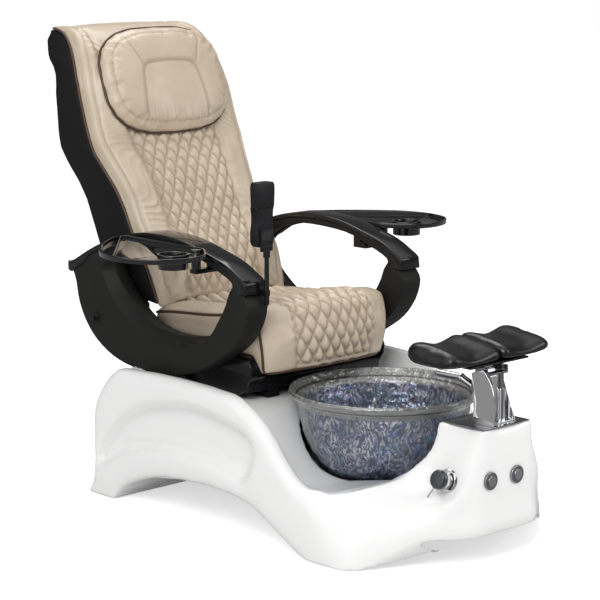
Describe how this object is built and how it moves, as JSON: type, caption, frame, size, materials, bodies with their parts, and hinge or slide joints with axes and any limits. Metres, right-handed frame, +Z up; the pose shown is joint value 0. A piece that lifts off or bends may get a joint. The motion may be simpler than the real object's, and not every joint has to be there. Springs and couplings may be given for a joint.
{
  "type": "pedicure spa chair",
  "caption": "Pedicure spa chair: white base with a clear foot bowl, quilted reclining seat, looped armrests with swing trays, remote on a stalk, and a padded footrest.",
  "frame": {"origin": "centre of the overall box, on the floor", "axes": "+Z up; -Y is the way the sitter faces; +X is the sitter's left"},
  "size_m": [1.2768, 1.7295, 1.4161],
  "materials": {
    "base_shell": "glossy white gelcoat",
    "base_frame": "satin",
    "levelling_feet": "matt",
    "rear_panel": "gloss",
    "panel_screws": "polished",
    "foot_bowl": "hammered, iridescent",
    "bowl_gasket": "matt",
    "drain_strainer": "polished",
    "drain_pipe": "matt",
    "pump_housing": "satin",
    "pump_impeller": "matt",
    "pump_hoses": "matt",
    "supply_hoses": "braided",
    "water_inlets": "satin",
    "control_box": "matt",
    "power_inlet": "matt",
    "console_plate": "brushed",
    "footrest_column": "polished",
    "spout": "polished",
    "valve_flange": "polished",
    "valve_knob": "gloss",
    "valve_lever": "polished",
    "button_bezels": "polished",
    "button_right": "satin",
    "button_left": "satin",
    "button_side": "satin",
    "slide_rails": "satin",
    "slide_tube": "satin",
    "footrest_slider": "polished",
    "footrest_bracket": "satin",
    "footrest_pad_right": "semi-gloss",
    "footrest_pad_left": "semi-gloss",
    "seat_frame": "gloss",
    "seat_rails": "satin",
    "slide_rod": "bright",
    "seat_pan": "plywood",
    "seat_cushion": "semi-matt, diamond quilted",
    "arm_right": "fine textured",
    "arm_left": "fine textured",
    "arm_cap_right": "gloss",
    "arm_cap_left": "gloss",
    "arm_bolts": "satin",
    "tray_brackets": "satin",
    "tray_right": "gloss",
    "tray_left": "gloss",
    "remote_stalk": "gloss",
    "remote_holder": "matt",
    "remote_handset": "satin",
    "remote_keypad": "matt",
    "back_frame": "satin",
    "back_shell": "satin",
    "back_cushion": "semi-matt, diamond quilted",
    "head_pillow": "semi-matt",
    "massage_carriage": "matt",
    "massage_rollers": "satin",
    "recline_tube": "satin",
    "recline_rod": "bright"
  },
  "bodies": {
    "base": {"base_shell": "base_shell", "base_frame": "base_frame", "levelling_feet": "levelling_feet", "rear_panel": "rear_panel", "panel_screws": "panel_screws", "foot_bowl": "foot_bowl", "bowl_gasket": "bowl_gasket", "drain_strainer": "drain_strainer", "drain_pipe": "drain_pipe", "pump_housing": "pump_housing", "pump_hoses": "pump_hoses", "supply_hoses": "supply_hoses", "water_inlets": "water_inlets", "control_box": "control_box", "power_inlet": "power_inlet", "console_plate": "console_plate", "footrest_column": "footrest_column", "spout": "spout", "valve_flange": "valve_flange", "button_bezels": "button_bezels", "slide_rails": "slide_rails", "slide_tube": "slide_tube"},
    "impeller": {"pump_impeller": "pump_impeller"},
    "valve_handle": {"valve_knob": "valve_knob", "valve_lever": "valve_lever"},
    "right_button": {"button_right": "button_right"},
    "left_button": {"button_left": "button_left"},
    "side_button": {"button_side": "button_side"},
    "footrest_lift": {"footrest_slider": "footrest_slider"},
    "footrest": {"footrest_bracket": "footrest_bracket", "footrest_pad_right": "footrest_pad_right", "footrest_pad_left": "footrest_pad_left"},
    "seat": {"seat_frame": "seat_frame", "seat_rails": "seat_rails", "slide_rod": "slide_rod", "seat_pan": "seat_pan", "seat_cushion": "seat_cushion", "arm_right": "arm_right", "arm_left": "arm_left", "arm_cap_right": "arm_cap_right", "arm_cap_left": "arm_cap_left", "arm_bolts": "arm_bolts", "tray_brackets": "tray_brackets", "remote_stalk": "remote_stalk"},
    "right_tray": {"tray_right": "tray_right"},
    "left_tray": {"tray_left": "tray_left"},
    "remote": {"remote_holder": "remote_holder", "remote_handset": "remote_handset", "remote_keypad": "remote_keypad"},
    "back": {"back_frame": "back_frame", "back_shell": "back_shell", "back_cushion": "back_cushion", "head_pillow": "head_pillow"},
    "carriage": {"massage_carriage": "massage_carriage"},
    "rollers": {"massage_rollers": "massage_rollers"},
    "recline_cylinder": {"recline_tube": "recline_tube"},
    "recline_piston": {"recline_rod": "recline_rod"}
  },
  "joints": [
    {"name": "pump_spin", "type": "hinge", "parent": "base", "child": "impeller", "pos_m": [0, 0.198, 0.235], "axis": [1, 0, 0], "continuous": true},
    {"name": "valve_turn", "type": "hinge", "parent": "base", "child": "valve_handle", "pos_m": [-0.1495, -0.772, 0.233], "axis": [-0.9537, 0, 0.3007], "range_deg": [-45, 45]},
    {"name": "right_button_push", "type": "slide", "parent": "base", "child": "right_button", "axis": [0, 1, 0], "range_m": [0, 0.003], "stiffness_N_per_m": 400, "springref_m": -0.003},
    {"name": "left_button_push", "type": "slide", "parent": "base", "child": "left_button", "axis": [0, 1, 0], "range_m": [0, 0.003], "stiffness_N_per_m": 400, "springref_m": -0.003},
    {"name": "side_button_push", "type": "slide", "parent": "base", "child": "side_button", "axis": [-0.9537, 0, -0.3007], "range_m": [0, 0.003], "stiffness_N_per_m": 400, "springref_m": -0.003},
    {"name": "footrest_height", "type": "slide", "parent": "base", "child": "footrest_lift", "axis": [0, 0, 1], "range_m": [0, 0.05]},
    {"name": "footrest_tilt", "type": "hinge", "parent": "footrest_lift", "child": "footrest", "pos_m": [0, -0.782, 0.529], "axis": [-1, 0, 0], "range_deg": [0, 15]},
    {"name": "seat_slide", "type": "slide", "parent": "base", "child": "seat", "axis": [0, 1, 0], "range_m": [0, 0.12]},
    {"name": "back_recline", "type": "hinge", "parent": "seat", "child": "back", "pos_m": [0, 0.413, 0.53], "axis": [-1, 0, 0], "range_deg": [0, 30]},
    {"name": "recline_drive_turn", "type": "hinge", "parent": "seat", "child": "recline_cylinder", "pos_m": [0, 0.028, 0.455], "axis": [1, 0, 0], "range_deg": [-2.4, 0.2]},
    {"name": "recline_drive_extend", "type": "slide", "parent": "recline_cylinder", "child": "recline_piston", "axis": [0, 0.9997, -0.023], "range_m": [-0.05, 0.001]},
    {"name": "massage_travel", "type": "slide", "parent": "back", "child": "carriage", "axis": [0, 0.3827, 0.9239], "range_m": [0, 0.25]},
    {"name": "roller_spin", "type": "hinge", "parent": "carriage", "child": "rollers", "pos_m": [0, 0.4772, 0.70743], "axis": [1, 0, 0], "continuous": true},
    {"name": "right_tray_swing", "type": "hinge", "parent": "seat", "child": "right_tray", "pos_m": [-0.383, 0.003, 0.775], "axis": [0, 0, 1], "range_deg": [0, 40]},
    {"name": "left_tray_swing", "type": "hinge", "parent": "seat", "child": "left_tray", "pos_m": [0.383, 0.003, 0.775], "axis": [0, 0, -1], "range_deg": [0, 40]},
    {"name": "remote_swivel", "type": "hinge", "parent": "seat", "child": "remote", "pos_m": [-0.292, -0.198, 0.8], "axis": [0, 0, 1], "range_deg": [-60, 60]}
  ],
  "couplings": [
    {"joint": "recline_drive_turn", "follows": "back_recline", "ratio": -0.0728},
    {"joint": "recline_drive_extend", "follows": "back_recline", "m_per_rad": -0.0928}
  ]
}
